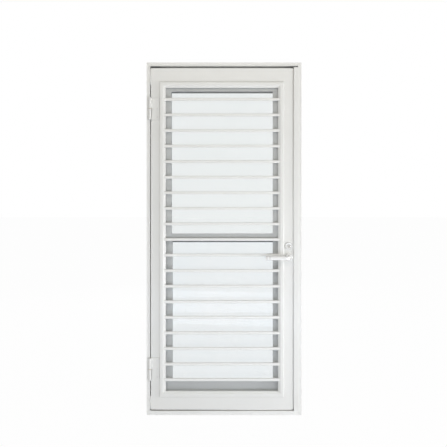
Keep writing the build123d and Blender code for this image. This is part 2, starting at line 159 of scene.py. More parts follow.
groupSettings = {
    "edgeRadius": 1.2 * mm,
    "edgeSharpness": 9.0,     # how fast the edge mask rises as the rounding bends the normal
    "bevelSamples": 6,
    "peelScale": 900.0,
    "driftScale": 2.2,
    "squeeze": (1400.0, 1400.0, 6.0),
    "fineDetail": 2.0,        # detail of the grain and of the drawn lines
    "driftDetail": 3.0,
    "footHeight": 0.3,        # metres from the floor that dust climbs up upright faces
    "dustAmount": 0.3,
    "dustAtFoot": 0.3,        # share of dust on an upright face at the very foot
    "dustPatches": 26.0,
    "dustDetail": 4.0,
}


def newGroup(name, inputs, outputs):
    # a shader node group from (label, kind, default) inputs and (label, kind) outputs
    group = bpy.data.node_groups.new(name, "ShaderNodeTree")
    for label, kind, value in inputs:
        socket = group.interface.new_socket(name=label, in_out="INPUT", socket_type=kind)
        socket.default_value = value
    for label, kind in outputs:
        group.interface.new_socket(name=label, in_out="OUTPUT", socket_type=kind)
    return group, group.nodes.new("NodeGroupInput"), group.nodes.new("NodeGroupOutput")


def wire(tree, fromSocket, toSocket):
    tree.links.new(fromSocket, toSocket)


def mathNode(tree, operation, first, second, clamp=False):
    # first and second are numbers or sockets
    node = tree.nodes.new("ShaderNodeMath")
    node.operation = operation
    node.use_clamp = clamp
    for n, value in enumerate((first, second)):
        if isinstance(value, (int, float)):
            node.inputs[n].default_value = value
        else:
            wire(tree, value, node.inputs[n])
    return node.outputs[0]


def noiseNode(tree, vector, scale, detail):
    node = tree.nodes.new("ShaderNodeTexNoise")
    node.inputs["Detail"].default_value = detail
    wire(tree, vector, node.inputs["Vector"])
    if isinstance(scale, (int, float)):
        node.inputs["Scale"].default_value = scale
    else:
        wire(tree, scale, node.inputs["Scale"])
    return node.outputs["Fac"]


def makeEdgeGroup(s):
    # rounds the sharp edges for light, and gives a mask that is 1 along an edge
    group, given, out = newGroup("softEdges", (
        ("Radius", "NodeSocketFloat", s["edgeRadius"]),
        ("Sharpness", "NodeSocketFloat", s["edgeSharpness"]),
    ), (("Normal", "NodeSocketVector"), ("Edge", "NodeSocketFloat")))
    bevel = group.nodes.new("ShaderNodeBevel")
    bevel.samples = s["bevelSamples"]
    wire(group, given.outputs["Radius"], bevel.inputs["Radius"])
    geometry = group.nodes.new("ShaderNodeNewGeometry")
    dot = group.nodes.new("ShaderNodeVectorMath")
    dot.operation = "DOT_PRODUCT"
    wire(group, bevel.outputs["Normal"], dot.inputs[0])
    wire(group, geometry.outputs["True Normal"], dot.inputs[1])
    bent = mathNode(group, "SUBTRACT", 1.0, dot.outputs["Value"])
    mask = mathNode(group, "MULTIPLY", bent, given.outputs["Sharpness"], clamp=True)
    wire(group, bevel.outputs["Normal"], out.inputs["Normal"])
    wire(group, mask, out.inputs["Edge"])
    return group


def makeGrainGroup(s):
    # a fine grain for the surface and a slow drift for the tone
    group, given, out = newGroup("coatGrain", (
        ("Peel Scale", "NodeSocketFloat", s["peelScale"]),
        ("Drift Scale", "NodeSocketFloat", s["driftScale"]),
    ), (("Height", "NodeSocketFloat"), ("Drift", "NodeSocketFloat")))
    place = group.nodes.new("ShaderNodeTexCoord").outputs["Object"]
    peel = noiseNode(group, place, given.outputs["Peel Scale"], s["fineDetail"])
    drift = noiseNode(group, place, given.outputs["Drift Scale"], s["driftDetail"])
    wire(group, peel, out.inputs["Height"])
    wire(group, drift, out.inputs["Drift"])
    return group


def makeDrawnGroup(s):
    # faint drawing or brushing lines: noise stretched along one direction of the piece
    group, given, out = newGroup("drawnLines", (
        ("Squeeze", "NodeSocketVector", s["squeeze"]),
    ), (("Height", "NodeSocketFloat"),))
    place = group.nodes.new("ShaderNodeTexCoord").outputs["Object"]
    stretch = group.nodes.new("ShaderNodeVectorMath")
    stretch.operation = "MULTIPLY"
    wire(group, place, stretch.inputs[0])
    wire(group, given.outputs["Squeeze"], stretch.inputs[1])
    lines = noiseNode(group, stretch.outputs["Vector"], 1.0, s["fineDetail"])
    wire(group, lines, out.inputs["Height"])
    return group


def makeDustGroup(s):
    # dust lies on faces that look up, and thickens towards the foot of the door
    group, given, out = newGroup("settledDust", (
        ("Foot Height", "NodeSocketFloat", s["footHeight"]),
        ("Amount", "NodeSocketFloat", s["dustAmount"]),
    ), (("Dust", "NodeSocketFloat"),))
    place = group.nodes.new("ShaderNodeTexCoord").outputs["Object"]
    split = group.nodes.new("ShaderNodeSeparateXYZ")
    wire(group, place, split.inputs["Vector"])
    rise = mathNode(group, "DIVIDE", split.outputs["Z"], given.outputs["Foot Height"])
    near = mathNode(group, "SUBTRACT", 1.0, rise, clamp=True)
    clinging = mathNode(group, "MULTIPLY", near, s["dustAtFoot"])
    geometry = group.nodes.new("ShaderNodeNewGeometry")
    looks = group.nodes.new("ShaderNodeSeparateXYZ")
    wire(group, geometry.outputs["Normal"], looks.inputs["Vector"])
    up = mathNode(group, "MAXIMUM", looks.outputs["Z"], 0.0)
    lying = mathNode(group, "ADD", clinging, up)
    patches = noiseNode(group, place, s["dustPatches"], s["dustDetail"])
    patchy = mathNode(group, "MULTIPLY", lying, patches)
    amount = mathNode(group, "MULTIPLY", patchy, given.outputs["Amount"], clamp=True)
    wire(group, amount, out.inputs["Dust"])
    return group


edgeGroup = makeEdgeGroup(groupSettings)
grainGroup = makeGrainGroup(groupSettings)
drawnGroup = makeDrawnGroup(groupSettings)
dustGroup = makeDustGroup(groupSettings)
print("stage: shader groups made")


def startMaterial(name, metallic=0.0, coat=0.0, ior=1.5):
    material = bpy.data.materials.new(name)
    material.use_nodes = True
    tree = material.node_tree
    shader = tree.nodes["Principled BSDF"]
    shader.inputs["Metallic"].default_value = metallic
    shader.inputs["Coat Weight"].default_value = coat
    shader.inputs["IOR"].default_value = ior
    return material, tree, shader


def useGroup(tree, group, **values):
    # values are for the inputs of those names; the others keep the defaults of the group
    node = tree.nodes.new("ShaderNodeGroup")
    node.node_tree = group
    for label, value in values.items():
        node.inputs[label].default_value = value
    return node


def mixColour(tree, factor, first, second):
    # first where the factor is 0 and second where it is 1; each a colour or a socket
    node = tree.nodes.new("ShaderNodeMix")
    node.data_type = "RGBA"
    wire(tree, factor, node.inputs["Factor"])
    sockets = [socket for socket in node.inputs if socket.type == "RGBA"]
    for socket, value in zip(sockets, (first, second)):
        if isinstance(value, tuple):
            socket.default_value = value + (1.0,)
        else:
            wire(tree, value, socket)
    return next(socket for socket in node.outputs if socket.type == "RGBA")


def spread(tree, value, low, high):
    # a 0 to 1 value carried to low to high
    node = tree.nodes.new("ShaderNodeMapRange")
    wire(tree, value, node.inputs["Value"])
    node.inputs["To Min"].default_value = low
    node.inputs["To Max"].default_value = high
    return node.outputs["Result"]


def bumpFrom(tree, height, distance, strength, normal=None):
    # bumps are laid over the given normal, so they can be stacked
    bump = tree.nodes.new("ShaderNodeBump")
    bump.inputs["Distance"].default_value = distance
    bump.inputs["Strength"].default_value = strength
    wire(tree, height, bump.inputs["Height"])
    if normal is not None:
        wire(tree, normal, bump.inputs["Normal"])
    return bump.outputs["Normal"]


coatSettings = {
    "pale": (0.815, 0.815, 0.800),
    "deep": (0.780, 0.780, 0.766),
    "edge": (0.90, 0.90, 0.89),
    "dust": (0.62, 0.60, 0.56),
    # each part's scale makes a lighter or darker copy of one coat: painted light and shade,
    # lighter for the frame and bars, darker for the sashes and hinges
    "leaf": {"paintedLightScale": 1.0, "dustAmount": 0.25},
    "frame": {"paintedLightScale": 1.06, "dustAmount": 0.25},
    "bars": {"paintedLightScale": 1.06, "dustAmount": 0.15},
    "sash": {"paintedLightScale": 0.86, "dustAmount": 0.25},
    "hinge": {"paintedLightScale": 0.97, "dustAmount": 0.25},
    "alongX": (5.0, 1400.0, 1400.0),      # die lines: scale of the noise in X, Y and Z
    "alongZ": (1400.0, 1400.0, 5.0),
    "clearCoat": 0.12,
    "roughness": (0.30, 0.42),
    "dustRoughness": 0.4,     # added where dust lies
    "edgeRadius": 1.1 * mm,
    "edgeWearAndHighlight": 0.35,
    "peelDepth": 0.06 * mm,
    "peelStrength": 0.35,
    "lineDepth": 0.03 * mm,
    "lineStrength": 0.25,
}


def makeCoat(name, part, run, s):
    # powder-coated aluminium: two close tones, orange peel, faint die lines, edges lighter as wear
    # and painted highlight, dust
    # the part's scale lightens or darkens the coat as painted light and shade
    paintedLightScale = s[part]["paintedLightScale"]
    material, tree, shader = startMaterial(name, coat=s["clearCoat"])
    edges = useGroup(tree, edgeGroup, Radius=s["edgeRadius"])
    grain = useGroup(tree, grainGroup)
    lines = useGroup(tree, drawnGroup, Squeeze=s[run])
    dust = useGroup(tree, dustGroup, Amount=s[part]["dustAmount"]).outputs["Dust"]
    pale, deep, edge = (tuple(paintedLightScale * value for value in s[key])
                        for key in ("pale", "deep", "edge"))
    tone = mixColour(tree, grain.outputs["Drift"], deep, pale)
    # lighter along the edges: wear, and a painted highlight
    wornAndHighlit = mathNode(tree, "MULTIPLY", edges.outputs["Edge"], s["edgeWearAndHighlight"])
    edged = mixColour(tree, wornAndHighlit, tone, edge)
    wire(tree, mixColour(tree, dust, edged, s["dust"]), shader.inputs["Base Color"])
    gloss = spread(tree, grain.outputs["Drift"], *s["roughness"])
    dulled = mathNode(tree, "MULTIPLY", dust, s["dustRoughness"])
    wire(tree, mathNode(tree, "ADD", gloss, dulled), shader.inputs["Roughness"])
    peel = bumpFrom(tree, grain.outputs["Height"], s["peelDepth"], s["peelStrength"],
                    edges.outputs["Normal"])
    drawn = bumpFrom(tree, lines.outputs["Height"], s["lineDepth"], s["lineStrength"], peel)
    wire(tree, drawn, shader.inputs["Normal"])
    return material


metalSettings = {
    "lever": {"bright": (0.88, 0.88, 0.875), "dull": (0.81, 0.81, 0.805), "metallic": 0.25,
              "roughness": (0.20, 0.32), "squeeze": (30.0, 1600.0, 1600.0)},
    "rose": {"bright": (0.87, 0.87, 0.86), "dull": (0.79, 0.79, 0.78), "metallic": 0.35,
             "roughness": (0.22, 0.34), "squeeze": (900.0, 900.0, 900.0)},
    "cylinder": {"bright": (0.80, 0.79, 0.76), "dull": (0.62, 0.61, 0.58), "metallic": 1.0,
                 "roughness": (0.22, 0.36), "squeeze": (700.0, 700.0, 700.0)},
    "steel": {"bright": (0.74, 0.74, 0.74), "dull": (0.56, 0.56, 0.57), "metallic": 1.0,
              "roughness": (0.28, 0.46), "squeeze": (1400.0, 1400.0, 20.0)},
    "brass": {"bright": (0.64, 0.57, 0.42), "dull": (0.46, 0.40, 0.29), "metallic": 1.0,
              "roughness": (0.26, 0.44), "squeeze": (1200.0, 1200.0, 1200.0)},
    "edge": (0.95, 0.95, 0.94),
    "groove": (0.22, 0.22, 0.22),
    "driftScale": 40.0,
    "edgeRadius": 0.6 * mm,
    "edgeWearAndHighlight": 0.5,
    "lineDepth": 0.04 * mm,
    "lineStrength": 0.3,
}


def makeMetal(name, kind, s, rings=False):
    # brushed metal: two tones, a roughness mixed by the brushing, brighter at edges as wear and
    # painted highlight, and painted shade in the ring grooves where the mesh marks them
    finish = s[kind]
    material, tree, shader = startMaterial(name, finish["metallic"])
    edges = useGroup(tree, edgeGroup, Radius=s["edgeRadius"])
    grain = useGroup(tree, grainGroup, **{"Drift Scale": s["driftScale"]})
    lines = useGroup(tree, drawnGroup, Squeeze=finish["squeeze"])
    tone = mixColour(tree, grain.outputs["Drift"], finish["dull"], finish["bright"])
    # lighter along the edges: wear, and a painted highlight
    wornAndHighlit = mathNode(tree, "MULTIPLY", edges.outputs["Edge"], s["edgeWearAndHighlight"])
    colour = mixColour(tree, wornAndHighlit, tone, s["edge"])
    if rings:
        # painted shade: a darker colour in the ring grooves, where the mesh marks them
        mark = tree.nodes.new("ShaderNodeAttribute")
        mark.attribute_name = "ringShade"
        colour = mixColour(tree, mark.outputs["Fac"], colour, s["groove"])
    wire(tree, colour, shader.inputs["Base Color"])
    mixed = mathNode(tree, "MULTIPLY", lines.outputs["Height"], grain.outputs["Drift"])
    wire(tree, spread(tree, mixed, *finish["roughness"]), shader.inputs["Roughness"])
    brushed = bumpFrom(tree, lines.outputs["Height"], s["lineDepth"], s["lineStrength"],
                       edges.outputs["Normal"])
    wire(tree, brushed, shader.inputs["Normal"])
    return material


glassSettings = {
    "upper": {"clear": (0.972, 0.994, 0.990), "body": (0.944, 0.975, 0.966)},
    "lower": {"clear": (0.978, 0.998, 1.0), "body": (0.945, 0.985, 1.0)},
    "ior": 1.45,
    "patchScale": 2.4,        # a higher number gives smaller patches of tone
    "patchSpread": (-0.9, 1.9),           # past 0 and 1, so that the patches stand out
    "dustAmount": 0.5,
    "dustHeight": 0.9,
    "film": 0.03,             # roughness under full dust
}


def makeGlass(name, pane, s):
    # clear float glass with a faint cool body in patches, dulled a little where dust lies
    material, tree, shader = startMaterial(name, ior=s["ior"])
    shader.inputs["Transmission Weight"].default_value = 1.0
    grain = useGroup(tree, grainGroup, **{"Drift Scale": s["patchScale"]})
    dust = useGroup(tree, dustGroup, **{"Amount": s["dustAmount"],
                                        "Foot Height": s["dustHeight"]}).outputs["Dust"]
    patches = spread(tree, grain.outputs["Drift"], *s["patchSpread"])
    tone = mixColour(tree, patches, s[pane]["clear"], s[pane]["body"])
    wire(tree, tone, shader.inputs["Base Color"])
    wire(tree, mathNode(tree, "MULTIPLY", dust, s["film"]), shader.inputs["Roughness"])
    return material


softSettings = {
    "screenCord": {"base": (0.36, 0.40, 0.43), "light": (0.46, 0.50, 0.53), "rough": 0.55},
    # a near-black rubber wedge under the head of each pane: painted shade
    "headShadeRubber": {"base": (0.10, 0.10, 0.10), "light": (0.15, 0.15, 0.15), "rough": 0.62},
    "paleGasketRubber": {"base": (0.52, 0.53, 0.53), "light": (0.60, 0.61, 0.61), "rough": 0.60},
    "sealRubber": {"base": (0.10, 0.10, 0.105), "light": (0.16, 0.16, 0.165), "rough": 0.66},
    "paleEdgeRubber": {"base": (0.86, 0.86, 0.85), "light": (0.92, 0.92, 0.91), "rough": 0.60},
    "latchPlastic": {"base": (0.14, 0.145, 0.15), "light": (0.20, 0.205, 0.21), "rough": 0.48},
    # near black: painted shade inside the key slot
    "keyholeShadeBlack": {"base": (0.03, 0.03, 0.03), "light": (0.06, 0.06, 0.06), "rough": 0.50},
    "roughSpread": 0.08,      # either way from rough
    "peelScale": 1200.0,
    "peelDepth": 0.1 * mm,
    "peelStrength": 0.4,
    "driftScale": 30.0,
    "dust": coatSettings["dust"],
    "dustAmount": 0.4,
}


def makeSoft(name, s):
    # rubber, screen cord, plastic, or near-black painted shade in the keyway: two close tones with
    # a fine matt grain
    finish = s[name]
    rough = finish["rough"]
    material, tree, shader = startMaterial(name)
    grain = useGroup(tree, grainGroup, **{"Peel Scale": s["peelScale"],
                                          "Drift Scale": s["driftScale"]})
    dust = useGroup(tree, dustGroup, Amount=s["dustAmount"]).outputs["Dust"]
    tone = mixColour(tree, grain.outputs["Drift"], finish["base"], finish["light"])
    wire(tree, mixColour(tree, dust, tone, s["dust"]), shader.inputs["Base Color"])
    matt = spread(tree, grain.outputs["Height"],
                  rough - s["roughSpread"], rough + s["roughSpread"])
    wire(tree, matt, shader.inputs["Roughness"])
    peel = bumpFrom(tree, grain.outputs["Height"], s["peelDepth"], s["peelStrength"])
    wire(tree, peel, shader.inputs["Normal"])
    return material


uprightCoat = makeCoat("uprightCoat", "leaf", "alongZ", coatSettings)
levelCoat = makeCoat("levelCoat", "leaf", "alongX", coatSettings)
# the frame, bar, sash and hinge coats are lighter or darker copies of the leaf coat: painted light
# and shade
frameUprightCoat = makeCoat("frameUprightCoat", "frame", "alongZ", coatSettings)
frameLevelCoat = makeCoat("frameLevelCoat", "frame", "alongX", coatSettings)
barCoat = makeCoat("barCoat", "bars", "alongX", coatSettings)
sashUprightCoat = makeCoat("sashUprightCoat", "sash", "alongZ", coatSettings)
sashLevelCoat = makeCoat("sashLevelCoat", "sash", "alongX", coatSettings)
hingeCoat = makeCoat("hingeCoat", "hinge", "alongZ", coatSettings)
leverMetal = makeMetal("satinLeverMetal", "lever", metalSettings, rings=True)
roseMetal = makeMetal("satinRoseMetal", "rose", metalSettings)
cylinderMetal = makeMetal("cylinderMetal", "cylinder", metalSettings)
lockSteel = makeMetal("lockSteel", "steel", metalSettings)
washerBrass = makeMetal("washerBrass", "brass", metalSettings)
upperGlass = makeGlass("upperGlass", "upper", glassSettings)
lowerGlass = makeGlass("lowerGlass", "lower", glassSettings)
screenCord = makeSoft("screenCord", softSettings)
headShadeGasket = makeSoft("headShadeRubber", softSettings)
paleGasket = makeSoft("paleGasketRubber", softSettings)
sealRubber = makeSoft("sealRubber", softSettings)
edgeRubber = makeSoft("paleEdgeRubber", softSettings)
latchPlastic = makeSoft("latchPlastic", softSettings)
keyholeShadeBlack = makeSoft("keyholeShadeBlack", softSettings)
print("stage: materials made")

cadFinishes = {
    frameUprightCoat: ("hinge_jamb",),
    frameLevelCoat: ("frame_head", "frame_sill"),
    uprightCoat: ("lock_jamb", "strike_rail", "hinge_stile", "lock_stile", "inner_frame_left",
                  "inner_frame_right"),
    levelCoat: ("top_rail", "bottom_rail", "inner_frame_bottom", "inner_frame_top"),
    barCoat: ("vent_bars",),
    sashUprightCoat: ("upper_sash_left", "upper_sash_right", "lower_sash_left",
                      "lower_sash_right", "screen_clip"),
    sashLevelCoat: ("upper_sash_foot", "upper_sash_head", "lower_sash_foot", "lower_sash_head"),
    upperGlass: ("upper_sash_glass",),
    lowerGlass: ("lower_sash_glass",),
    sealRubber: ("door_seal",),
    latchPlastic: ("sash_latches",),
    hingeCoat: ("top_hinge_frame_half", "top_hinge_leaf_half",
                "bottom_hinge_frame_half", "bottom_hinge_leaf_half"),
    washerBrass: ("top_hinge_washer", "bottom_hinge_washer"),
    lockSteel: ("spindle", "latch_faceplate", "lock_bolts", "strike_plate"),
    roseMetal: ("inner_plate", "thumbturn"),
    cylinderMetal: ("lock_cylinder",),
}
for material, names in cadFinishes.items():
    for name in names:
        for place in nodes[name].material_slots:
            place.material = material
print("stage: CAD pieces finished")

screenSettings = {
    "pitch": 1.4 * mm,        # from one strand to the next
    "strand": 0.12 * mm,      # thickness of a strand
}


def makeScreen(s):
    # square strands across the whole opening: upright ones in front, level ones just behind
    low, high = corners("insect_screen")
    centre = (low + high) / 2
    reach = (high - low) / 2
    half = s["strand"] / 2
    acrossX = np.arange(low[0] + s["pitch"] / 2, high[0], s["pitch"])
    upZ = np.arange(low[2] + s["pitch"] / 2, high[2], s["pitch"])
    tallPlaces = np.full((len(acrossX), 3), centre)
    tallPlaces[:, 0] = acrossX
    tallPlaces[:, 1] -= half
    widePlaces = np.full((len(upZ), 3), centre)
    widePlaces[:, 1] += half
    widePlaces[:, 2] = upZ
    tallPoints, tallFaces = repeated(boxCorners * (half, half, reach[2]), boxSides, tallPlaces)
    widePoints, wideFaces = repeated(boxCorners * (reach[0], half, half), boxSides, widePlaces)
    lifted = [[corner + len(tallPoints) for corner in face] for face in wideFaces]
    addPiece("insectScreenStrands", np.concatenate((tallPoints, widePoints)), tallFaces + lifted,
             screenCord, "leaf", smooth=False, hides=("insect_screen",))


makeScreen(screenSettings)
print("stage: insect screen made")

gasketSettings = {
    "reach": 1.2 * mm,        # over the glass from the edge of the sash
    "rise": 1.2 * mm,         # off the face of the glass
    "tuck": 0.4 * mm,         # back into the sash
    "headStart": {"upper_sash": 3.0 * mm, "lower_sash": 0.0},         # down from the head
    "headReach": {"upper_sash": 9.6 * mm, "lower_sash": 7.4 * mm},
    "headRise": 2.0 * mm,     # the dark wedge under the head of each pane, a painted shade, thick above and thin below
    "headLip": 0.7 * mm,      # and thin below
    "lipSteps": 7,
    "wedgeSteps": 9,
}


def makeGaskets(s):
    # a quarter-round lip round each side of each pane, and a deeper dark wedge under its head as
    # painted shade, which thins with the square of the way down
    turn = np.linspace(0, math.pi / 2, s["lipSteps"])
    curve = np.stack((s["reach"] * np.sin(turn), s["rise"] * np.cos(turn)), axis=-1)
    outline = np.concatenate((((-s["tuck"], 0.0), (-s["tuck"], s["rise"])), curve))
    slide = np.linspace(0, 1, s["wedgeSteps"])
    wedgeRise = s["headLip"] + (s["headRise"] - s["headLip"]) * (1 - slide ** 2)
    for sash in ("upper_sash", "lower_sash"):
        top, reach = s["headStart"][sash], s["headReach"][sash]
        drop = top + (reach - top) * slide
        left, right = corners(sash + "_left")[1][0], corners(sash + "_right")[0][0]
        foot, head = corners(sash + "_foot")[1][2], corners(sash + "_head")[0][2]
        paneLow, paneHigh = corners(sash + "_glass")
        for side, face, way in (("Front", paneLow[1], -1), ("Back", paneHigh[1], 1)):
            label = sash.replace("_sash", "Sash") + side
            profile = np.stack((outline[:, 0], face + way * outline[:, 1]), axis=-1)
            points, faces = rectangleRing((left, 0.0, foot), (right, 0.0, head), profile)
            addPiece(label + "Gasket", points, faces, paleGasket, "leaf")
            # the dark wedge under the head: painted shade where the sash head shades the pane
            depth = np.concatenate(((face,), face + way * wedgeRise, (face,)))
            height = head - np.concatenate(((top,), drop, (reach,)))
            points, faces = levelRun(np.stack((depth, height), axis=-1),
                                     left + s["reach"], right - s["reach"])
            addPiece(label + "HeadShadeWedge", points, faces, headShadeGasket, "leaf",
                     smooth=False)


makeGaskets(gasketSettings)
print("stage: gaskets made")

edgeSealSettings = {
    "relief": 3.0 * mm,       # how far the edge of the leaf stands back behind its lip
    "clear": 0.3 * mm,        # between the bulb and what it faces
    "front": 0.9 * mm,        # from the face of the leaf to the front of the bulb
    "stem": (0.6 * mm, 2.2 * mm),         # its two edges, behind the middle of the bulb
    "lockGap": 6.0 * mm,
    "hingeGap": 5.5 * mm,
    "footGap": 5.2 * mm,      # over 5.0, or the bulb is too small for its stem
    "endClear": 2.0 * mm,     # from the ends of the stiles
    "hingeTopRun": 93.0 * mm,
    "hingeFootRun": 75.0 * mm,
    "arcSteps": 21,
}


def bulbOutline(gap, s):
    # across and depth of a bulb on a stem: the arc starts under the stem's front edge, goes
    # round by the front of the bulb and ends at the stem's back edge
    radius = gap / 2 - s["clear"]
    across = s["relief"] + gap / 2
    depth = s["front"] + radius
    start, end = (math.asin(reach / radius) for reach in s["stem"])
    turn = np.linspace(-start, 2 * math.pi - end, s["arcSteps"])
    arc = np.stack((across - radius * np.cos(turn), depth - radius * np.sin(turn)), axis=-1)
    roots = np.array([(0.0, depth + reach) for reach in s["stem"]])
    return np.concatenate((roots[:1], arc, roots[1:]))


def makeEdgeSeals(s):
    # pale bulb seals, their outline carried straight along: up the whole lock edge, up both
    # ends of the hinge edge, and across the foot
    leafLow, leafHigh = corners("lock_stile")
    hingeSide, face = corners("hinge_stile")[0][0], leafLow[1]
    low, high = leafLow[2] + s["endClear"], leafHigh[2] - s["endClear"]
    uprights = (
        ("lockEdgeSeal", leafHigh[0] - s["relief"], 1.0, s["lockGap"], low, high),
        ("hingeEdgeTopSeal", hingeSide + s["relief"], -1.0, s["hingeGap"],
         high - s["hingeTopRun"], high),
        ("hingeEdgeBottomSeal", hingeSide + s["relief"], -1.0, s["hingeGap"],
         low, low + s["hingeFootRun"]),
    )
    for name, root, way, gap, start, end in uprights:
        across, depth = bulbOutline(gap, s).T
        x = np.ones((2, 1)) * (root + way * across)
        y = np.ones((2, 1)) * (face + depth)
        z = np.array((start, end))[:, None] * np.ones(len(across))
        addPiece(name, np.stack((x, y, z), axis=-1), cappedFaces(2, len(across)), edgeRubber,
                 "leaf")
    across, depth = bulbOutline(s["footGap"], s).T
    profile = np.stack((face + depth, leafLow[2] + s["relief"] - across), axis=-1)
    points, faces = levelRun(profile, hingeSide + s["relief"], leafHigh[0] - s["relief"])
    addPiece("footSeal", points, faces, edgeRubber, "leaf")


makeEdgeSeals(edgeSealSettings)
print("stage: edge seals made")

leverSettings = {
    "neck": 8.0 * mm,         # radius where the lever leaves its rose
    "neckCorner": 0.999,      # share of that radius rounded at the corners, all but a circle
    "elbow": 13.0 * mm,
    "gripHigh": 22.0 * mm,
    "gripDeep": 12.0 * mm,
    "corner": 5.0 * mm,
    "tipRound": 5.0 * mm,
    "tipEnd": 0.02,           # share of the section left where the tip closes
    "ringPlaces": (8.0 * mm, 25.0 * mm),  # from the tip
    "ringDepth": 0.8 * mm,
    "ringWidth": 3.0 * mm,
    "ringShadeGain": 2.2,          # painted shade at the full depth of a ring, before it is held at 1
    "steps": {"neck": 5, "bend": 15, "grip": 14, "ring": 5, "tip": 8},
}


def makeLever(name, node, out, s):
    # one section carried along a straight neck, a quarter-circle elbow and a straight grip; it
    # changes from round to flat along the elbow, dips at the two rings, and closes over a
    # half-ellipse at the tip
    low, high = corners(node)
    steps = s["steps"]
    centreZ = (low[2] + high[2]) / 2
    boreX = sum(corners("spindle"))[0] / 2
    face = high[1] if out < 0 else low[1]
    gripY = (low[1] if out < 0 else high[1]) - out * s["gripDeep"] / 2
    reach = abs(gripY - face)
    neckRun = reach - s["elbow"]
    gripRun = boreX - s["elbow"] - low[0]
    # where the sections stand: closer together at the rings and the tip
    bend = np.linspace(0, math.pi / 2, steps["bend"])
    neckAt = np.linspace(0, neckRun, steps["neck"])[:-1]
    acrossRing = np.linspace(-0.5, 0.5, steps["ring"]) * s["ringWidth"]
    gripAt = np.unique(np.concatenate((
        np.linspace(0, gripRun - s["tipRound"], steps["grip"])[1:],
        (gripRun - np.array(s["ringPlaces"])[:, None] - acrossRing).ravel(),
        gripRun - s["tipRound"] * (1 - np.sin(np.linspace(0, math.pi / 2, steps["tip"]))),
    )))
    x = np.concatenate((np.full(len(neckAt), boreX), boreX - s["elbow"] * (1 - np.cos(bend)),
                        boreX - s["elbow"] - gripAt))
    along = np.concatenate((neckAt, neckRun + s["elbow"] * np.sin(bend),
                            np.full(len(gripAt), reach)))
    y = face + out * along
    heading = np.concatenate((np.zeros(len(neckAt)), bend, np.full(len(gripAt), math.pi / 2)))
    # 0 for the round neck and 1 for the flat grip, with a smooth step between them
    flat = heading / bend[-1]
    flat = flat * flat * (3 - 2 * flat)
    fromTip = gripRun - gripAt
    tipShare = np.clip(1 - fromTip / s["tipRound"], 0, 1)
    cap = np.maximum(np.sqrt(1 - tipShare ** 2), s["tipEnd"])
    ringGap = np.abs(fromTip[:, None] - np.array(s["ringPlaces"])) / (s["ringWidth"] / 2)
    dip = s["ringDepth"] * np.clip(1 - ringGap, 0, 1).sum(axis=1)
    plain = len(neckAt) + len(bend)
    dip = np.concatenate((np.zeros(plain), dip))
    cap = np.concatenate((np.ones(plain), cap))
    roundShape = roundedSection(s["neck"], s["neck"], s["neck"] * s["neckCorner"])
    flatShape = roundedSection(s["gripDeep"] / 2, s["gripHigh"] / 2, s["corner"])
    sections = roundShape * (1 - flat)[:, None, None] + flatShape * flat[:, None, None]
    length = np.linalg.norm(sections, axis=-1, keepdims=True)
    sections = sections * (1 - dip[:, None, None] / length) * cap[:, None, None]
    px = x[:, None] + sections[:, :, 0] * np.cos(heading)[:, None]
    py = y[:, None] + sections[:, :, 0] * out * np.sin(heading)[:, None]
    pz = centreZ + sections[:, :, 1]
    points = np.stack((px, py, pz), axis=-1)
    piece = addPiece(name, points, cappedFaces(*points.shape[:2]), leverMetal, "lever",
                     hides=(node,))
    # painted shade in the rings, full at their full depth
    grooveShade = np.minimum(s["ringShadeGain"] * dip / s["ringDepth"], 1.0)
    shade = piece.data.attributes.new("ringShade", "FLOAT", "POINT")
    shade.data.foreach_set("value", np.repeat(grooveShade, points.shape[1]))


makeLever("outsideLever", "outer_lever", -1, leverSettings)
makeLever("insideLever", "inner_lever", 1, leverSettings)
print("stage: levers made")

roseSettings = {
    "shoulder": 2.2 * mm,
    "taper": 1.2 * mm,
    "dish": 0.9 * mm,
    "neckGap": 0.3 * mm,      # round the neck of the lever
    "cylinderBore": 10.05 * mm,
    "shoulderSteps": 9,
    "faceSteps": 7,
    "roundSteps": 72,
}


def makeRose(name, node, bore, s):
    # a turned ring: a slightly tapered skirt, a round shoulder, and a face dished to the bore
    # along a squared sine
    low, high = corners(node)
    outer = (high[0] - low[0]) / 2
    thick = high[1] - low[1]
    turn = np.linspace(0, math.pi / 2, s["shoulderSteps"])
    shoulderRadius = outer - s["taper"] - s["shoulder"] * (1 - np.cos(turn))
    shoulderHeight = thick - s["shoulder"] * (1 - np.sin(turn))
    inward = np.linspace(0, 1, s["faceSteps"])[1:]
    faceRadius = shoulderRadius[-1] + (bore - shoulderRadius[-1]) * inward
    faceHeight = thick - s["dish"] * np.sin(inward * math.pi / 2) ** 2
    radius = np.concatenate(((bore, outer), shoulderRadius, faceRadius))
    height = np.concatenate(((0.0, 0.0), shoulderHeight, faceHeight))
    profile = np.stack((radius, height), axis=-1)
    points = facing(turned(profile, s["roundSteps"]), "front")
    points += ((low[0] + high[0]) / 2, high[1], (low[2] + high[2]) / 2)
    addPiece(name, points, gridFaces(len(radius), s["roundSteps"], closeRows=True), roseMetal,
             "leaf", hides=(node,))


keywaySettings = {
    "wide": 2.2 * mm,
    "deep": 0.8 * mm,
    "high": 8.8 * mm,
    "sunk": 0.4 * mm,         # behind the face of the cylinder
}


def makeKeyway(s):
    # a near-black box a little way inside the key slot, as painted shade over its pins and wards
    low, high = corners("lock_cylinder")
    half = np.array((s["wide"], s["deep"], s["high"])) / 2
    centre = (low + high) / 2
    centre[1] = low[1] + s["sunk"] + half[1]
    addPiece("keywayShadeBox", boxCorners * half + centre, boxSides, keyholeShadeBlack, "leaf",
             smooth=False)


makeRose("leverRoseRing", "lever_rose", leverSettings["neck"] + roseSettings["neckGap"],
         roseSettings)
makeRose("cylinderRoseRing", "cylinder_rose", roseSettings["cylinderBore"], roseSettings)
makeKeyway(keywaySettings)
print("stage: roses and keyway made")

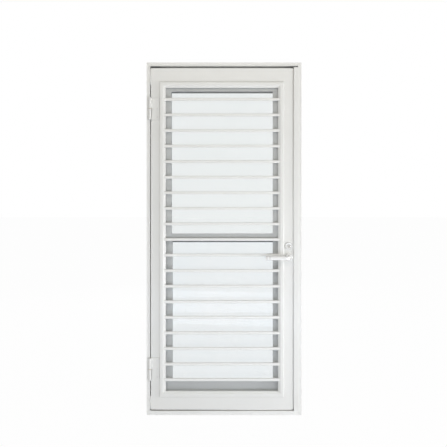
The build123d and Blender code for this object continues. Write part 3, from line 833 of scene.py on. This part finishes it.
screwSettings = {
    "large": {"radius": 3.6 * mm, "rise": 0.5 * mm, "socket": 1.5 * mm, "inset": 16.0 * mm,
              "count": 3},    # in each half of a hinge; inset is from its ends
    "small": {"radius": 2.8 * mm, "rise": 0.4 * mm, "socket": 1.2 * mm, "inset": 8.0 * mm,
              "count": 2},    # in each plate
    "socketDepth": 1.1 * mm,
    "socketFloor": 0.5,       # shares of the socket's radius
    "socketLip": 1.04,
    "dome": ((0.7, 1.0), (0.93, 0.6)),    # shares of the radius and of the rise
    "lipRise": 0.92,
    "seat": 0.8 * mm,
    "steps": 24,
    "wingThick": 4.0 * mm,    # hinge wing in front of the leaf
    "wingInset": 12.0 * mm,   # from the wing's edge to its screws
    "plateThick": 1.0 * mm,   # hinge plate in front of the jamb
    "plateInset": 6.0 * mm,
}


def makeScrews(name, places, way, body, size, s):
    # countersunk heads: a domed disc with a round socket, made by turning its profile
    radius, rise, socket = size["radius"], size["rise"], size["socket"]
    bottom = rise - s["socketDepth"]
    dome = [(radius * across, rise * up) for across, up in s["dome"]]
    profile = [(socket * s["socketFloor"], bottom), (socket, bottom),
               (socket * s["socketLip"], rise * s["lipRise"]), *dome,
               (radius, 0.0), (radius, -s["seat"])]
    points = facing(turned(profile, s["steps"]), way)
    allPoints, allFaces = repeated(points, cappedFaces(len(profile), s["steps"]), places)
    addPiece(name, allPoints, allFaces, lockSteel, body)


def spaced(low, high, size):
    # heights of the screws of one plate, evenly spaced from inset to inset
    return np.linspace(low[2] + size["inset"], high[2] - size["inset"], size["count"])


def makeAllScrews(s):
    # two rows in each hinge, and one in each of the three plates
    large, small = s["large"], s["small"]
    wing, plate = [], []
    wingFace = corners("hinge_stile")[0][1] - s["wingThick"]
    plateFace = corners("hinge_jamb")[0][1] - s["plateThick"]
    for end in ("top", "bottom"):
        low, high = corners(end + "_hinge_leaf_half")
        wing += [(high[0] - s["wingInset"], wingFace, z) for z in spaced(low, high, large)]
        low, high = corners(end + "_hinge_frame_half")
        plate += [(low[0] + s["plateInset"], plateFace, z) for z in spaced(low, high, large)]
    makeScrews("hingeWingScrews", wing, "front", "leaf", large, s)
    makeScrews("hingePlateScrews", plate, "front", "frame", large, s)
    low, high = corners("inner_plate")
    middle = (low[0] + high[0]) / 2
    inner = [(middle, high[1], z) for z in spaced(low, high, small)]
    makeScrews("innerPlateScrews", inner, "back", "leaf", small, s)
    low, high = corners("latch_faceplate")
    depth = (low[1] + high[1]) / 2        # shared with the strike plate that it meets
    edge = [(high[0], depth, z) for z in spaced(low, high, small)]
    makeScrews("faceplateScrews", edge, "right", "leaf", small, s)
    low, high = corners("strike_plate")
    strike = [(low[0], depth, z) for z in spaced(low, high, small)]
    makeScrews("strikePlateScrews", strike, "left", "frame", small, s)


makeAllScrews(screwSettings)
print("stage: screws made")

stageSettings = {
    "photoSize": 447,
    "scaleMm": 5.81,          # millimetres of door front for each pixel of the photograph
    "doorMiddlePx": 224.0,    # pixel column of the middle of the frame
    "doorFootPx": 415.2,      # pixel row of the foot of the frame
    "cameraX": 0.30,
    "cameraZ": 1.25,
    "distance": 2.6,          # from the camera to the front of the frame
    "sensor": 36.0,
    "clipEnd": 100.0,
    "floorSize": 30.0,
    "floorMatt": (0.88, 0.88, 0.88),
    "floorWhite": 0.97,       # share of white in what the camera sees of the floor
    "worldTone": (1.0, 1.0, 0.98),
    "worldStrength": 0.515,
}


def seenDirectly(tree, kinds):
    # 1 for the rays named in kinds, and 0 for the light that falls on the object
    path = tree.nodes.new("ShaderNodeLightPath")
    seen = path.outputs[kinds[0]]
    for kind in kinds[1:]:
        seen = mathNode(tree, "MAXIMUM", seen, path.outputs[kind])
    return seen


def makeFloor(s):
    # near white to the camera, to glass and to polished metal, with a faint share of its own
    # shade kept; matt grey for the light that it throws back on the door
    size = s["floorSize"]
    mesh = bpy.data.meshes.new("studioFloor")
    mesh.from_pydata([(-size, -size, 0), (size, -size, 0), (size, size, 0), (-size, size, 0)],
                     [], [(0, 1, 2, 3)])
    floor = bpy.data.objects.new("studioFloor", mesh)
    bpy.context.scene.collection.objects.link(floor)
    material = bpy.data.materials.new("studioFloorWhite")
    material.use_nodes = True
    tree = material.node_tree
    tree.nodes.clear()
    out = tree.nodes.new("ShaderNodeOutputMaterial")
    matt = tree.nodes.new("ShaderNodeBsdfDiffuse")
    matt.inputs["Color"].default_value = s["floorMatt"] + (1.0,)
    glow = tree.nodes.new("ShaderNodeEmission")
    seen = seenDirectly(tree, ("Is Camera Ray", "Is Transmission Ray", "Is Glossy Ray"))
    mix = tree.nodes.new("ShaderNodeMixShader")
    wire(tree, mathNode(tree, "MULTIPLY", seen, s["floorWhite"]), mix.inputs[0])
    wire(tree, matt.outputs[0], mix.inputs[1])
    wire(tree, glow.outputs[0], mix.inputs[2])
    wire(tree, mix.outputs[0], out.inputs["Surface"])
    mesh.materials.append(material)


def makeWorld(s):
    # soft light from all round, and plain white where the camera or glass sees past the door
    world = bpy.data.worlds.new("studioWorld")
    bpy.context.scene.world = world
    world.use_nodes = True
    tree = world.node_tree
    tree.nodes.clear()
    out = tree.nodes.new("ShaderNodeOutputWorld")
    soft = tree.nodes.new("ShaderNodeBackground")
    soft.inputs["Color"].default_value = s["worldTone"] + (1.0,)
    soft.inputs["Strength"].default_value = s["worldStrength"]
    white = tree.nodes.new("ShaderNodeBackground")
    white.inputs["Color"].default_value = (1, 1, 1, 1)
    mix = tree.nodes.new("ShaderNodeMixShader")
    wire(tree, seenDirectly(tree, ("Is Camera Ray", "Is Transmission Ray")), mix.inputs[0])
    wire(tree, soft.outputs[0], mix.inputs[1])
    wire(tree, white.outputs[0], mix.inputs[2])
    wire(tree, mix.outputs[0], out.inputs["Surface"])


lampSettings = {              # places and sizes in metres, power in watts
    "sideLamp": {"place": (4.0, -1.1, 0.35), "target": (0.0, 0.0, 0.6), "size": (0.8, 1.2),
                 "power": 78.0, "colour": (1.0, 0.99, 0.98)},
    "rightLamp": {"place": (2.4, -2.8, 0.4), "target": (0.0, 0.0, 0.6), "size": (0.8, 0.8),
                  "power": 18.0, "colour": (0.97, 0.98, 1.0)},
    "topLamp": {"place": (-0.4, -3.4, 3.4), "target": (0.0, 0.0, 1.6), "size": (2.4, 1.2),
                "power": 24.0, "colour": (1.0, 0.94, 0.80)},
    "floorLamp": {"place": (0.2, -1.8, 0.08), "target": (0.0, 0.0, 0.35), "size": (2.4, 0.5),
                  "power": 10.0, "colour": (0.72, 0.82, 1.0)},
    "backLamp": {"place": (-0.9, 3.6, 2.2), "target": (0.0, 0.0, 1.0), "size": (2.4, 2.4),
                 "power": 45.0, "colour": (1.0, 1.0, 0.99)},
}


def addLamp(name, s):
    # an area lamp turned towards its target, which the camera and the glass do not see
    lamp = bpy.data.lights.new(name, "AREA")
    lamp.shape = "RECTANGLE"
    lamp.size, lamp.size_y = s["size"]
    lamp.energy = s["power"]
    lamp.color = s["colour"]
    holder = bpy.data.objects.new(name, lamp)
    bpy.context.scene.collection.objects.link(holder)
    holder.location = s["place"]
    way = Vector(s["target"]) - Vector(s["place"])
    holder.rotation_euler = way.to_track_quat("-Z", "Y").to_euler()
    holder.visible_camera = False
    holder.visible_transmission = False


def addCamera(s):
    # the lens is set so that one pixel covers scaleMm at the front of the frame; the shift
    # moves the door to its place in the picture
    front = corners("lock_jamb")[0][1]
    camera = bpy.data.cameras.new("photoCamera")
    holder = bpy.data.objects.new("photoCamera", camera)
    bpy.context.scene.collection.objects.link(holder)
    holder.location = (s["cameraX"], front - s["distance"], s["cameraZ"])
    holder.rotation_euler = (math.pi / 2, 0.0, 0.0)
    wide = s["photoSize"] * s["scaleMm"] * mm
    camera.sensor_width = s["sensor"]
    camera.lens = camera.sensor_width * s["distance"] / wide
    middle = s["photoSize"] / 2
    lookX = (middle - s["doorMiddlePx"]) * s["scaleMm"] * mm
    lookZ = (s["doorFootPx"] - middle) * s["scaleMm"] * mm
    camera.shift_x = (lookX - s["cameraX"]) / wide
    camera.shift_y = (lookZ - s["cameraZ"]) / wide
    camera.clip_end = s["clipEnd"]
    bpy.context.scene.camera = holder


makeFloor(stageSettings)
makeWorld(stageSettings)
for name, settings in lampSettings.items():
    addLamp(name, settings)
addCamera(stageSettings)
bpy.context.scene.view_settings.view_transform = "Standard"
print("stage: lights and camera set")
